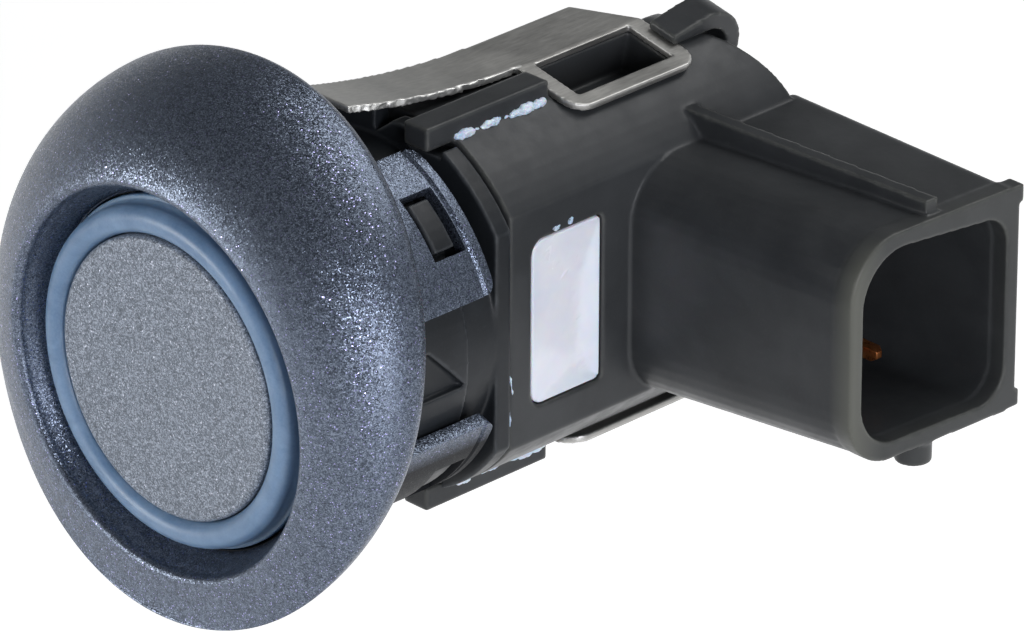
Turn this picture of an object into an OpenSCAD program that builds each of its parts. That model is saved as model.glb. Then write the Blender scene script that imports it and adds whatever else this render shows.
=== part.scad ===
// Ultrasonic parking sensor: a painted bezel that sits in a bumper, a round transducer in a soft ring,
// a holder, a potted housing with a side connector, and two steel spring clips. Millimetres, +Z up.
// The sensor looks along -Y, the connector leaves along +X, and the origin is where the sensor axis
// crosses the plane of the bezel's rear seat.

/* [Bezel] */
// Tilt of the rim and its rear seat about X, in degrees
bezel_tilt = 15; // [8:1:18]
// Outer radius of the rim
rim_r = 13.6; // [13:0.1:15]
// Radius of the rim's rounded edge
rim_edge = 1; // [0.7:0.1:1.3]
// Fullness of the dome between the front edge and the rim: 1 is round, more is flatter
dome_curve = 1.6; // [1.2:0.05:1.9]
// How far the rim's centre lies above the sensor axis, along the seat
rim_rise = 1.02; // [0.5:0.01:1.2]
// How far the bezel's front edge stands ahead of the sensing face
front_lead = 0.6; // [0.3:0.1:1]
// Radius of the bezel's front opening
mouth_r = 9.5; // [9.3:0.1:9.8]
// Depth of the slope inside the front opening
mouth_depth = 2.1; // [1.2:0.1:2.4]
// Thickness of the collar and its legs
leg_t = 0.75; // [0.6:0.05:0.9]
// End of the closed collar behind the seat
collar_end = 3; // [2.8:0.1:4]
// End of the four legs behind the seat
leg_end = 9.2; // [8.9:0.1:9.4]
// Half the angle that a leg covers
leg_half = 24.5; // [20:0.5:28]
// Width of the groove between the collar and the flat seat
relief_w = 0.7; // [0.6:0.05:0.9]
// Depth of that groove
relief_d = 0.4; // [0.3:0.05:0.5]

/* [Transducer] */
// Radius of the aluminium case and its sensing face
face_r = 7; // [6.5:0.1:7.2]
// How far the sensing face lies ahead of the seat plane
face_set = 3.55; // [3.2:0.05:4]
// Thickness of the sensing face
face_t = 0.7; // [0.5:0.05:1]
// Length of the case
case_len = 9; // [8:0.1:9.5]
// Wall of the case
case_wall = 1; // [0.7:0.1:1.4]
// Radius of the piezo disc
piezo_r = 3.5; // [2.5:0.1:4.5]
// Thickness of the piezo disc
piezo_t = 0.4; // [0.2:0.05:0.6]
// Thickness of the damping pad
pad_t = 3; // [2:0.1:4]
// Radius of the soft ring's front lip
lip_r = 8.4; // [8.2:0.05:8.5]
// Thickness of the front lip
lip_t = 1.85; // [1.2:0.05:2.2]
// How far the front lip stands ahead of the sensing face
lip_lead = 0.15; // [0.05:0.05:0.3]
// Thickness of the skirt behind the front lip
skirt_t = 0.6; // [0.4:0.05:0.8]
// Wall of the soft sleeve around the case
sleeve_t = 0.65; // [0.5:0.05:0.8]
// Thickness of the lip behind the case
rear_lip_t = 0.8; // [0.5:0.1:1.2]
// Radius of a lead wire
lead_r = 0.25; // [0.15:0.05:0.35]
// Distance between the two lead wires
lead_pitch = 5; // [3:0.1:6]
// Length of a lead beside the circuit board
lead_reach = 2; // [1:0.1:3]

/* [Holder] */
// Wall of the holder's barrel
barrel_t = 0.8; // [0.6:0.05:0.9]
// Front of the flange behind the seat
flange_set = 9.95; // [9.7:0.05:10.5]
// Thickness of the flange
flange_t = 1; // [0.8:0.1:1.4]
// How far the flange's side stands proud of the housing
flange_lip = 0.3; // [0.1:0.05:0.5]
// How far the flange's far side lies inside the housing's round
flange_in = 0.4; // [0.3:0.05:0.6]
// Length of the thin neck ahead of the flange
neck_len = 2.1; // [1.2:0.1:2.5]
// Depth of the neck
neck_cut = 0.35; // [0.2:0.05:0.4]
// Front of the four catches behind the seat
catch_set = 6.7; // [6.4:0.05:6.9]
// Length of a catch
catch_len = 1.3; // [1:0.1:1.6]
// Half the angle that a catch covers
catch_half = 8; // [6:0.5:10]
// Depth of a side pocket in the barrel
pocket_cut = 0.5; // [0.3:0.05:0.55]
// How far a side pocket reaches over the axis
pocket_high = 1.2; // [0.8:0.1:1.5]
// How far a side pocket's ledge lies under the axis
pocket_low = 1.2; // [0.8:0.1:1.5]
// Front of a side pocket behind the seat
pocket_set = 3.4; // [3.2:0.1:4]
// Edge left between a side pocket and the barrel's end
pocket_edge = 0.1; // [0.05:0.05:0.3]

/* [Housing] */
// Gap between flange and housing that the gasket fills
seam_gap = 0.2; // [0.15:0.05:0.4]
// How far the gasket lies inside the housing's outline
gasket_in = 0.4; // [0.2:0.05:0.6]
// Radius of the housing's round top and bottom
body_r = 9.9; // [9.7:0.05:10.1]
// Length of the housing
body_len = 19; // [18.6:0.1:20]
// Rounding of the housing's top and bottom at the rear
rear_round = 3.7; // [3.4:0.1:4.2]
// Connector side of the housing, from the axis
side_x = 7.86; // [7.6:0.02:8.1]
// Far side of the housing, from the axis
back_x = 6.5; // [6:0.1:7]
// Where the long bevels of the far side start, from the axis
bevel_x = 1.2; // [1:0.1:1.5]
// Slope of the long bevels, in degrees
bevel_angle = 38; // [36:1:39]
// Wall of the housing
wall = 1.2; // [1:0.1:1.5]
// Half the height of the hollow
hollow_half = 6.2; // [6:0.1:6.3]
// Start of the potting window behind the housing's front
window_set = 1.48; // [1.2:0.02:1.8]
// Length of the potting window
window_len = 4.66; // [4:0.02:5]
// Height of the potting window
window_h = 8.7; // [7.5:0.1:9.4]
// Corner radius of the potting window
window_round = 0.8; // [0.4:0.1:1.2]
// Inner side of the guide rails, from the axis
rail_x = 2.57; // [2.4:0.01:2.8]
// Width of a guide rail
rail_w = 1.58; // [1.2:0.02:1.8]
// How far a guide rail's top stands over the top of the housing's round
rail_top = 0.05; // [0:0.05:0.2]
// Depth of a guide rail
rail_h = 1.2; // [1:0.05:1.4]
// How far a guide rail reaches ahead of the housing
rail_lead = 1.8; // [1.4:0.05:1.9]
// Length of a guide rail
rail_len = 8; // [7:0.1:8.2]

/* [Connector] */
// Plane of the connector's mouth, from the axis
mouth_x = 21.15; // [19:0.05:23]
// Length of the straight collar at the mouth
mouth_rim = 1; // [0.6:0.1:1.6]
// How far that collar stands proud of the connector
mouth_lip = 0.06; // [0.05:0.01:0.1]
// How far the connector's far side stands behind the housing
plug_set = 1.5; // [1:0.05:1.8]
// Width of the connector along Y
plug_w = 11.3; // [10.6:0.1:12]
// Height of the connector
plug_h = 11.6; // [10.8:0.1:12]
// Wall of the connector
plug_wall = 0.85; // [0.7:0.05:1]
// Corner radius on the near side
plug_near_r = 3; // [2:0.1:3.5]
// Corner radius on the far side
plug_far_r = 0.8; // [0.6:0.1:1.2]
// How far the connector widens at its foot
plug_flare = 0.4; // [0.2:0.05:0.5]
// How far the connector's foot lies ahead of its mouth, along Y
plug_skew = 0.9; // [0:0.05:1]
// How far the connector's foot lies below its mouth
plug_drop = 0.15; // [0:0.05:0.4]
// Thickness of the connector's floor beyond the housing's side
plug_floor = 2; // [1.4:0.1:3]
// How far the connector's roof falls towards the far side at the mouth
roof_sag = 0.25; // [0.1:0.05:0.4]
// How far the cavity's top falls towards the far side
top_sag = 0.6; // [0.3:0.05:0.7]
// How far the mouth's bottom falls towards the far side
bottom_sag = 0.25; // [0.1:0.05:0.4]
// Height of the guide rib on top
rib_h = 0.8; // [0.5:0.05:1]
// Width of the guide rib
rib_w = 0.8; // [0.6:0.05:1.2]
// Place of the guide rib from the near side
rib_set = 5.4; // [4.5:0.1:6.5]
// How far the guide rib's foot lies ahead of its end at the mouth, along Y
rib_skew = 2.1; // [0.5:0.1:2.6]
// How far the guide rib's foot lies above its end at the mouth
rib_rise = 0.85; // [0.6:0.05:1]
// How far the two far corners stand out
ear_lead = 0.3; // [0.2:0.05:0.5]
// Height of such a corner
ear_h = 0.9; // [0.6:0.05:1.2]
// Radius of the stud under the mouth
stud_r = 0.9; // [0.6:0.05:1.1]
// Height of the stud under the mouth
stud_h = 1.3; // [1:0.05:1.5]
// Width of a square terminal
pin_w = 0.64; // [0.5:0.02:0.8]
// Distance between terminals
pin_pitch = 2.2; // [2:0.05:2.3]
// How far the terminals end inside the mouth
pin_recess = 4.8; // [4:0.1:7]
// Depth of the terminal row under the axis
pin_drop = 3.55; // [2.5:0.05:3.7]
// How far the last terminal lies from the connector's far side
pin_set = 4.3; // [4.2:0.05:4.8]

/* [Electronics] */
// Side of the circuit board that faces away from the connector, from the axis
board_x = 0.4; // [0:0.05:0.8]
// Thickness of the circuit board
board_t = 1; // [0.8:0.1:1.6]
// Room between the board or the potting and the hollow's walls
board_gap = 0.35; // [0.2:0.05:0.5]
// Height of the transformer over the board
transformer_h = 4.2; // [3:0.1:4.6]
// Side of the transformer's square foot
transformer_w = 5; // [4:0.1:5.4]
// Side of the control chip
chip_w = 4; // [3:0.1:4.4]
// Height of the control chip
chip_h = 1.1; // [0.8:0.05:1.6]
// Length of a capacitor
capacitor_len = 2; // [1.6:0.1:2.4]
// Width and height of a capacitor
capacitor_w = 1.25; // [1:0.05:1.5]

/* [Spring clips] */
// Thickness of the steel
clip_t = 0.35; // [0.25:0.05:0.45]
// How far the clip's top lies under the top of the housing's round
clip_top = 0.24; // [0.1:0.02:0.4]
// Half the width of the leaf
leaf_half = 1.65; // [1.3:0.05:2]
// Radius that the leaf bends up along
leaf_bend = 46; // [42:1:60]
// Free end of the leaf behind the seat
leaf_tip = 6.7; // [6.4:0.1:7.5]
// How much shorter the leaf is on its outer side
leaf_cut = 1.5; // [1:0.1:2.4]
// How far the housing's seat under the leaf reaches behind it
seat_lead = 0.4; // [0.2:0.05:0.6]
// Gap between the leaf's bend and the windowed plate
plate_set = 0.7; // [0.5:0.1:1]
// Width of the windowed plate beside the leaf
plate_w = 4.2; // [4:0.05:4.6]
// Length of the windowed plate
plate_len = 8.2; // [7.6:0.1:8.6]
// Slope of the windowed plate, in degrees
plate_slope = 11.3; // [9:0.1:13]
// Corner radius of the plate
plate_round = 1.1; // [0.6:0.1:1.5]
// Width of the strips around the plate's window
strip = 0.95; // [0.7:0.05:1.2]
// Radius of the dished pocket under the plate's window
dish_r = 2.9; // [2.4:0.1:3]
// Width of the hook that holds the plate down
hook_w = 1.75; // [1.4:0.05:2]
// Thickness of the hook's arch
hook_t = 0.9; // [0.7:0.05:1]
// Outer radius of the hook's arch
hook_r = 2.4; // [2.2:0.05:2.6]
// Height of the hook's arch over the plate
hook_rise = 0.95; // [0.8:0.05:1.1]
// Length of the hook's root behind the housing
hook_root = 2.4; // [2:0.1:2.8]
// How far the hook stands behind the housing
hook_lead = 0.15; // [0.1:0.05:0.4]
// How far the hook reaches over the plate
hook_over = 0.4; // [0.2:0.05:0.7]
// Thickness of the hook's tip
hook_tip_t = 0.45; // [0.3:0.05:0.7]

/* [Clearances] */
// Gap between round pieces that fit in one another
fit_gap = 0.05; // [0.03:0.01:0.08]
// Gap between the bezel's collar and the holder's barrel
collar_gap = 0.2; // [0.1:0.05:0.25]
// Gap between the soft ring's skirt and the bezel's collar
skirt_gap = 0.1; // [0.08:0.02:0.2]
// Gap around a catch in its leg's window, and around a rail in the flange
catch_gap = 0.35; // [0.2:0.05:0.45]
// Gap under the spring clips
clip_gap = 0.05; // [0.03:0.01:0.1]

/* [Hidden] */
$fn = 64;
// Extra length that carries a cut through a face
cut = 1;
// Half a box that is larger than the whole sensor
far = 60;
// Thickness of the slices that a loft is stretched over
slice = 0.02;

face_y = -face_set;
bezel_front = face_y - front_lead;
barrel_ri = face_r + sleeve_t + 2 * fit_gap;
barrel_r = barrel_ri + barrel_t;
barrel_end = flange_set - neck_len;
leg_ri = barrel_r + collar_gap;
leg_r = leg_ri + leg_t;
lip_front = face_y - lip_lead;
lip_back = lip_front + lip_t;
case_back = face_y + case_len;
pad_front = face_y + face_t + piezo_t;
pad_back = pad_front + pad_t;
case_ri = face_r - case_wall;

flange_back = flange_set + flange_t;
body_y0 = flange_back + seam_gap;
body_y1 = body_y0 + body_len;
clip_z = body_r - clip_top;
seat_z = clip_z - clip_t - clip_gap;
hollow_x0 = -back_x + wall;
hollow_x1 = side_x - wall;
hollow_y1 = body_y1 - wall;
hollow_r = body_r - wall;
bevel_z = seat_z - (back_x + bevel_x) * tan(bevel_angle);

rail_y0 = body_y0 - rail_lead;
rail_y1 = rail_y0 + rail_len;
rail_z = body_r + rail_top - rail_h;
window_y0 = body_y0 + window_set;
window_y1 = window_y0 + window_len;

plug_y1 = body_y1 + plug_set;
plug_y0 = plug_y1 - plug_w;
plug_z = plug_h / 2;
floor_x = side_x + plug_floor;
plug_foot_x = side_x - wall / 2;
pin_x1 = mouth_x - pin_recess;
pin_ys = [for (i = [0:2]) plug_y1 - pin_set - i * pin_pitch];

board_x1 = board_x + board_t;
board_y0 = body_y0 + board_gap;
board_y1 = hollow_y1 - board_gap / 2;
board_half = hollow_half - board_gap;
lead_x = board_x - lead_r - fit_gap;
lead_end = board_y0 + lead_reach;

plate_y0 = rail_y1 + plate_set / 2;
plate_y1 = plate_y0 + plate_len;
bend_y = plate_y0 + plate_set;
window_in = strip * 2;
arch_y = body_y1 + hook_lead - hook_r;
arch_z = hook_rise - hook_r;

// Extrudes an X-Z outline along Y
module along_y(y0, y1) {
    translate([0, y1, 0])
        rotate([90, 0, 0])
            linear_extrude(height = y1 - y0)
                children();
}

// Extrudes a Y-Z outline along X
module along_x(x0, x1) {
    translate([x0, 0, 0])
        rotate([90, 0, 90])
            linear_extrude(height = x1 - x0)
                children();
}

// Round bar on the sensor axis
module rod(r, y0, y1) {
    translate([0, y1, 0])
        rotate([90, 0, 0])
            cylinder(r = r, h = y1 - y0);
}

// Tube on the sensor axis
module tube(r_in, r_out, y0, y1) {
    difference() {
        rod(r_out, y0, y1);
        rod(r_in, y0 - cut, y1 + cut);
    }
}

// Outline of a ring's share between two angles either side of a middle one
module ring_share(r_in, r_out, middle, half) {
    reach = 2 * r_out;
    intersection() {
        difference() {
            circle(r = r_out);
            circle(r = r_in);
        }
        rotate(middle)
            polygon([[0, 0], [reach, -reach * tan(half)], [reach, reach * tan(half)]]);
    }
}

// The four diagonal places of the legs and catches
module at_diagonals() {
    for (turn = [45:90:315])
        rotate([0, -turn, 0])
            children();
}

// The frame of the tilted rim: the seat lies in its X-Z plane
module tilted() {
    rotate([-bezel_tilt, 0, 0])
        children();
}

// Repeats a shape mirrored below the axis
module top_and_bottom() {
    children();
    mirror([0, 0, 1])
        children();
}

// One slice of the bezel's dome: share 0 is the front edge and share 1 is the rim's widest circle
module dome_slice(share) {
    grow = pow(sin(90 * share), dome_curve);
    sink = 1 - cos(90 * share);
    front_r = mouth_r + leg_t / 2;
    rim_y = -rim_edge * cos(bezel_tilt) + rim_rise * sin(bezel_tilt);
    rim_z = rim_edge * sin(bezel_tilt) + rim_rise * cos(bezel_tilt);
    translate([0, bezel_front + (rim_y - bezel_front) * sink, rim_z * sink])
        rotate([90 - bezel_tilt * sink, 0, 0])
            cylinder(r = front_r + (rim_r - front_r) * grow, h = slice, center = true, $fn = 48);
}

// One slice of the rim's rounded rear edge: turn 0 is the widest circle and turn 90 is the seat
module rim_slice(turn) {
    tilted()
        translate([0, -rim_edge * (1 - sin(turn)), rim_rise])
            rotate([90, 0, 0])
                cylinder(r = rim_r - rim_edge * (1 - cos(turn)), h = slice, center = true, $fn = 48);
}

// Dome and rim as one body, cut off flat at the seat, with a groove where the collar leaves it aslant
module dome() {
    difference() {
        hull() {
            for (share = [0:0.125:1])
                dome_slice(share);
            for (turn = [30:30:90])
                rim_slice(turn);
        }
        tilted()
            translate([-far, 0, -far])
                cube(2 * far);
        intersection() {
            rod(leg_r + relief_w, bezel_front, leg_end);
            tilted()
                translate([-far, -relief_d, -far])
                    cube(2 * far);
        }
    }
}

module bezel() {
    slope_end = bezel_front + mouth_depth;
    color([0.30, 0.33, 0.40])
        difference() {
            union() {
                dome();
                rod(leg_r, slope_end - mouth_depth / 2, leg_end);
            }
            rod(leg_ri, bezel_front - cut, leg_end + cut);
            translate([0, slope_end, 0])
                rotate([90, 0, 0])
                    cylinder(r1 = leg_ri, r2 = mouth_r, h = mouth_depth);
            rod(mouth_r, bezel_front - cut, bezel_front);
            for (turn = [0:90:270])
                rotate([0, -turn, 0])
                    along_y(collar_end, leg_end + cut)
                        ring_share(leg_ri / 2, leg_r + cut, 0, 45 - leg_half);
            at_diagonals()
                along_y(catch_set - catch_gap, catch_set + catch_len + catch_gap)
                    ring_share(leg_ri / 2, leg_r + cut, 0, catch_half + atan(catch_gap / leg_ri));
        }
}

module transducer_case() {
    color([0.53, 0.57, 0.62])
        difference() {
            rod(face_r, face_y, case_back);
            rod(case_ri, face_y + face_t, case_back + cut);
        }
}

module decoupling_ring() {
    color([0.42, 0.54, 0.68])
        translate([0, lip_front, 0])
            rotate([-90, 0, 0])
                rotate_extrude()
                    decoupling_section();
}

// Half section of the soft ring: a rounded front lip with a skirt, a sleeve and a lip behind the case
module decoupling_section() {
    inner = face_r + fit_gap;
    back = case_back - lip_front + fit_gap;
    round_r = (lip_r - inner) / 2;
    translate([inner, round_r])
        square([lip_r - inner, lip_t - round_r]);
    translate([inner + round_r, round_r])
        circle(r = round_r);
    translate([inner, lip_t - skirt_t])
        square([leg_ri - skirt_gap - inner, skirt_t]);
    translate([inner, lip_t / 2])
        square([sleeve_t, back - lip_t / 2]);
    translate([case_ri, back])
        square([inner + sleeve_t - case_ri, rear_lip_t]);
}

module piezo_disc() {
    color([0.82, 0.76, 0.55])
        rod(piezo_r, face_y + face_t, pad_front);
}

module damping_pad() {
    color([0.35, 0.35, 0.36])
        rod(case_ri - fit_gap, pad_front, pad_back);
}

module case_backfill() {
    color([0.85, 0.85, 0.83])
        difference() {
            rod(case_ri - fit_gap, pad_back, case_back);
            lead_holes(pad_back - cut, case_back + cut);
        }
}

// Clear holes for both leads
module lead_holes(y0, y1) {
    top_and_bottom()
        translate([lead_x, 0, lead_pitch / 2])
            rod(lead_r + fit_gap, y0, y1);
}

// One lead from the case's backfill to the circuit board
module lead() {
    color([0.72, 0.45, 0.20])
        translate([lead_x, 0, lead_pitch / 2])
            rod(lead_r, pad_back, lead_end);
}

module upper_lead() {
    lead();
}

module lower_lead() {
    mirror([0, 0, 1])
        lead();
}

// Housing outline across the axis: straight sides, flat clip seats and long bevels on the far side
module body_outline(grow = 0) {
    intersection() {
        circle(r = body_r);
        polygon([
            [side_x + grow, -seat_z], [side_x + grow, seat_z], [bevel_x, seat_z],
            [-back_x, bevel_z], [-back_x, -bevel_z], [bevel_x, -seat_z]
        ]);
    }
}

// Guide rail on the housing's round top, with room around it where the flange is notched
module rail(room = 0) {
    translate([rail_x - room, rail_y0 - room, rail_z - room])
        cube([rail_w + 2 * room, rail_len + 2 * room, rail_h + 2 * room]);
}

// Shallow pocket in the barrel's side: a level top, a ledge below and a rear end that slopes down to it
module side_pocket() {
    rear = barrel_end - pocket_edge;
    translate([barrel_r - pocket_cut, 0, 0])
        rotate([90, 0, 90])
            linear_extrude(height = 2 * pocket_cut)
                polygon([
                    [pocket_set, -pocket_low], [rear, -pocket_low],
                    [rear - pocket_low - pocket_high, pocket_high], [pocket_set, pocket_high]
                ]);
}

module transducer_holder() {
    color([0.23, 0.25, 0.27])
        difference() {
            union() {
                tube(barrel_ri, barrel_r, lip_back, barrel_end);
                tube(barrel_ri, barrel_r - neck_cut, barrel_end, flange_set);
                along_y(flange_set, flange_back) {
                    body_outline(flange_lip);
                    intersection() {
                        circle(r = body_r - flange_in);
                        translate([-2 * body_r, -body_r])
                            square(2 * body_r);
                    }
                }
                at_diagonals()
                    along_y(catch_set, catch_set + catch_len)
                        ring_share(barrel_ri + barrel_t / 4, leg_r - leg_t / 4, 0, catch_half);
            }
            for (turn = [0, 180])
                rotate([0, turn, 0])
                    side_pocket();
            lead_holes(flange_set - cut, flange_back + cut);
            top_and_bottom()
                rail(catch_gap);
        }
}

module seam_gasket() {
    color([0.10, 0.10, 0.11])
        difference() {
            along_y(flange_back, body_y0)
                difference() {
                    scale(1 - gasket_in / side_x)
                        body_outline();
                    hollow_outline();
                }
            top_and_bottom()
                rail(catch_gap);
        }
}

// Outline of the hollow across the axis: bevelled and rounded like the housing, one wall inside it
module hollow_outline() {
    bevel_top = seat_z - wall / cos(bevel_angle);
    corner_x = bevel_x - (bevel_top - hollow_half) / tan(bevel_angle);
    corner_z = bevel_top - (bevel_x - hollow_x0) * tan(bevel_angle);
    intersection() {
        circle(r = hollow_r);
        polygon([
            [hollow_x1, -hollow_half], [hollow_x1, hollow_half], [corner_x, hollow_half],
            [hollow_x0, corner_z], [hollow_x0, -corner_z], [corner_x, -hollow_half]
        ]);
    }
}

// Outer form of the housing without its connector
module body_block() {
    intersection() {
        along_y(body_y0, body_y1)
            body_outline();
        along_x(-back_x - cut, side_x + cut) {
            translate([body_y0, -seat_z])
                square([body_len - rear_round, 2 * seat_z]);
            translate([body_y0, rear_round - seat_z])
                square([body_len, 2 * (seat_z - rear_round)]);
            for (side = [-1, 1])
                translate([body_y1 - rear_round, side * (seat_z - rear_round)])
                    circle(r = rear_round);
        }
    }
}

// Raised seat on the housing that the leaf lies on, cut off along the same slant
module clip_seat() {
    seat_y1 = plate_y1 + seat_lead;
    translate([0, 0, hollow_half])
        linear_extrude(height = seat_z - hollow_half)
            polygon([
                [-leaf_half, body_y0], [leaf_half, body_y0],
                [leaf_half, seat_y1], [-leaf_half, seat_y1 - leaf_cut]
            ]);
}

// Ends of a straight edge just inside two round corners, on their upper or lower side
function touch(c1, r1, c2, r2, side) =
    let (turn = atan2(c2[1] - c1[1], c2[0] - c1[0]) + side * acos((r1 - r2) / norm(c2 - c1)))
    [for (c = [[c1, r1], [c2, r2]]) c[0] + (c[1] - slice / 2) * [cos(turn), sin(turn)]];

// Rectangle with large corners on the near side and small ones on the far side
module plug_outline(y0, y1, half, near_r, far_r, top = 0, bottom = 0) {
    near_top = [y0 + near_r, half - near_r];
    near_bottom = [y0 + near_r, near_r - half];
    far_top = [y1 - far_r, half - far_r - top];
    far_bottom = [y1 - far_r, far_r - half - bottom];
    upper = touch(near_top, near_r, far_top, far_r, 1);
    lower = touch(near_bottom, near_r, far_bottom, far_r, -1);
    polygon([
        [y0, near_top[1]], upper[0], upper[1], [y1, far_top[1]],
        [y1, far_bottom[1]], lower[1], lower[0], [y0, near_bottom[1]]
    ]);
    for (c = [near_top, near_bottom])
        translate(c)
            circle(r = near_r);
    for (c = [far_top, far_bottom])
        translate(c)
            circle(r = far_r);
}

// One outline of the connector: share 0 is at its foot, share 1 at its mouth, and room makes it smaller
module plug_section(share, room, near_r, far_r, sag) {
    foot = 1 - share;
    spread = plug_flare * foot - room;
    translate([-plug_skew * foot, -plug_drop * foot])
        plug_outline(
            plug_y0 - spread, plug_y1 + spread, plug_z + spread, near_r, far_r,
            sag * share, bottom_sag * share
        );
}

// Leaning body of the connector between two places along X, and a straight collar at the mouth
module plug_body(x0, x1, room, near_r, far_r, sag) {
    rim_x = mouth_x - mouth_rim;
    hull() {
        along_x(x0, x0 + slice)
            plug_section((x0 - plug_foot_x) / (rim_x - plug_foot_x), room, near_r, far_r, sag, $fn = 32);
        along_x(rim_x + mouth_rim / 2, rim_x + mouth_rim / 2 + slice)
            plug_section(1, room, near_r, far_r, sag, $fn = 32);
    }
    along_x(rim_x, x1)
        plug_section(1, room - mouth_lip, near_r, far_r, sag);
}

module plug_shell() {
    plug_body(plug_foot_x, mouth_x, 0, plug_near_r, plug_far_r, roof_sag);
}

module plug_cavity() {
    plug_body(floor_x, mouth_x + cut, plug_wall, plug_near_r - plug_wall / 2, 2 * plug_far_r, top_sag);
}

// Guide rib, far corners and the stud under the mouth
module plug_features() {
    rib_y = plug_y0 + rib_set;
    rib_z = plug_z - plug_wall / 2 - roof_sag * rib_set / plug_w;
    rib_box = [slice, rib_w, rib_h + plug_wall / 2];
    hull() {
        translate([plug_foot_x - wall, rib_y - rib_skew, rib_z])
            cube(rib_box + [0, 0, rib_rise]);
        translate([mouth_x - mouth_rim / 2, rib_y, rib_z])
            cube(rib_box);
    }
    for (z = [plug_z - roof_sag - ear_h, -plug_z - bottom_sag])
        translate([mouth_x - mouth_rim, plug_y1 - 2 * plug_far_r, z])
            cube([mouth_rim, 2 * plug_far_r + ear_lead, ear_h]);
    translate([mouth_x - mouth_rim, rib_y, -plug_z - stud_h])
        cylinder(r = stud_r, h = stud_h + plug_wall / 2);
}

// The windowed plate's own frame: X runs down its slope from the leaf's edge, Z stands on its top face
module plate_frame() {
    translate([leaf_half, 0, clip_z])
        rotate([0, plate_slope, 0])
            children();
}

// Latch at the housing's rear: an arch whose tip lies over the plate's rear strip
module hook() {
    tip_y = plate_y1 - hook_over;
    crest_z = arch_z + hook_r;
    plate_frame()
        along_x(strip, strip + hook_w) {
            intersection() {
                translate([arch_y, arch_z])
                    difference() {
                        circle(r = hook_r);
                        circle(r = hook_r - hook_t);
                    }
                translate([arch_y, arch_z])
                    square(2 * hook_r);
            }
            polygon([
                [tip_y, clip_gap], [tip_y, clip_gap + hook_tip_t],
                [arch_y, crest_z], [arch_y, crest_z - hook_t]
            ]);
            translate([arch_y + hook_r - hook_t, arch_z - hook_root])
                square([hook_t, hook_root]);
        }
}

// Space for the windowed plate and the dished pocket under its window
module clip_pocket() {
    plate_frame() {
        translate([-cut / 2, plate_y0 - plate_set / 4, -clip_t - clip_gap])
            cube([plate_w + cut, plate_len + plate_set / 2, far]);
        intersection() {
            translate([strip / 4, plate_y0 + strip, -far])
                cube([plate_w - strip * 1.25, plate_len - window_in, 2 * far]);
            translate([strip / 4, 0, clip_t])
                rod(dish_r, plate_y0, plate_y1);
        }
    }
}

module rear_housing() {
    color([0.19, 0.20, 0.21])
        difference() {
            union() {
                difference() {
                    union() {
                        body_block();
                        top_and_bottom() {
                            rail();
                            clip_seat();
                        }
                    }
                    top_and_bottom()
                        clip_pocket();
                }
                plug_shell();
                plug_features();
                top_and_bottom()
                    hook();
            }
            along_y(body_y0 - cut, hollow_y1)
                hollow_outline();
            along_x(hollow_x1 - cut, side_x + cut)
                window_outline(0);
            plug_cavity();
            pin_bars(hollow_x1 - cut, floor_x + cut, fit_gap);
        }
}

// Potting window with rounded front corners, smaller by a gap for the potting itself
module window_outline(room) {
    half = window_h / 2 - room;
    y0 = window_y0 + room;
    y1 = window_y1 - room;
    plug_outline(y0, y1, half, window_round, window_round / 2);
}

// The three terminals as square bars, wider by some room on each side
module pin_bars(x0, x1, room) {
    for (y = pin_ys)
        pin_bar(y, x0, x1, room);
}

module pin_bar(y, x0, x1, room) {
    translate([x0, y - pin_w / 2 - room, -pin_drop - pin_w / 2 - room])
        cube([x1 - x0, pin_w + 2 * room, pin_w + 2 * room]);
}

module potting() {
    color([0.90, 0.90, 0.94])
        difference() {
            union() {
                intersection() {
                    translate([board_x1, board_y0, -board_half])
                        cube([hollow_x1 - fit_gap - board_x1, board_y1 - board_y0, 2 * board_half]);
                    rod(hollow_r - fit_gap, board_y0 - cut, board_y1 + cut);
                }
                along_x(hollow_x1 - cut, side_x - fit_gap)
                    window_outline(fit_gap);
            }
            pin_bars(0, mouth_x, fit_gap);
        }
}

module circuit_board() {
    color([0.10, 0.35, 0.20])
        difference() {
            translate([board_x, board_y0, -board_half])
                cube([board_t, board_y1 - board_y0, 2 * board_half]);
            pin_bars(board_x - cut, board_x1 + cut, fit_gap);
        }
}

// A block on the board's far face: its middle along Y and Z, and its three sizes
module board_block(y, z, height, len_y, len_z) {
    translate([board_x - height, y - len_y / 2, z - len_z / 2])
        cube([height, len_y, len_z]);
}

module transformer() {
    y = lead_end + transformer_w / 2 + board_gap;
    color([0.20, 0.20, 0.22])
        difference() {
            board_block(y, 0, transformer_h, transformer_w, transformer_w);
            translate([board_x - transformer_h / 2, y, 0])
                for (side = [-1, 1])
                    translate([-transformer_h / 4, -far / 2, side * transformer_w / 2 - transformer_w / 8])
                        cube([transformer_h / 2, far, transformer_w / 4]);
        }
}

module control_chip() {
    y = lead_end + transformer_w + chip_w / 2 + 2 * board_gap;
    color([0.08, 0.08, 0.09])
        board_block(y, chip_w / 2 + board_gap, chip_h, chip_w, chip_w);
}

// A chip capacitor at one place along Z on the board
module capacitor(z) {
    y = lead_end + transformer_w + capacitor_len / 2 + 2 * board_gap;
    color([0.55, 0.42, 0.28])
        board_block(y, z, capacitor_w, capacitor_len, capacitor_w);
}

module drive_capacitor() {
    capacitor(-capacitor_w / 2 - board_gap);
}

module filter_capacitor() {
    capacitor(-capacitor_w * 3 / 2 - 2 * board_gap);
}

// One square terminal from behind the board to its end in the connector
module terminal(index) {
    color([0.72, 0.43, 0.22])
        pin_bar(pin_ys[index], board_x - pin_w, pin_x1, 0);
}

module first_terminal() {
    terminal(0);
}

module second_terminal() {
    terminal(1);
}

module third_terminal() {
    terminal(2);
}

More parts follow.
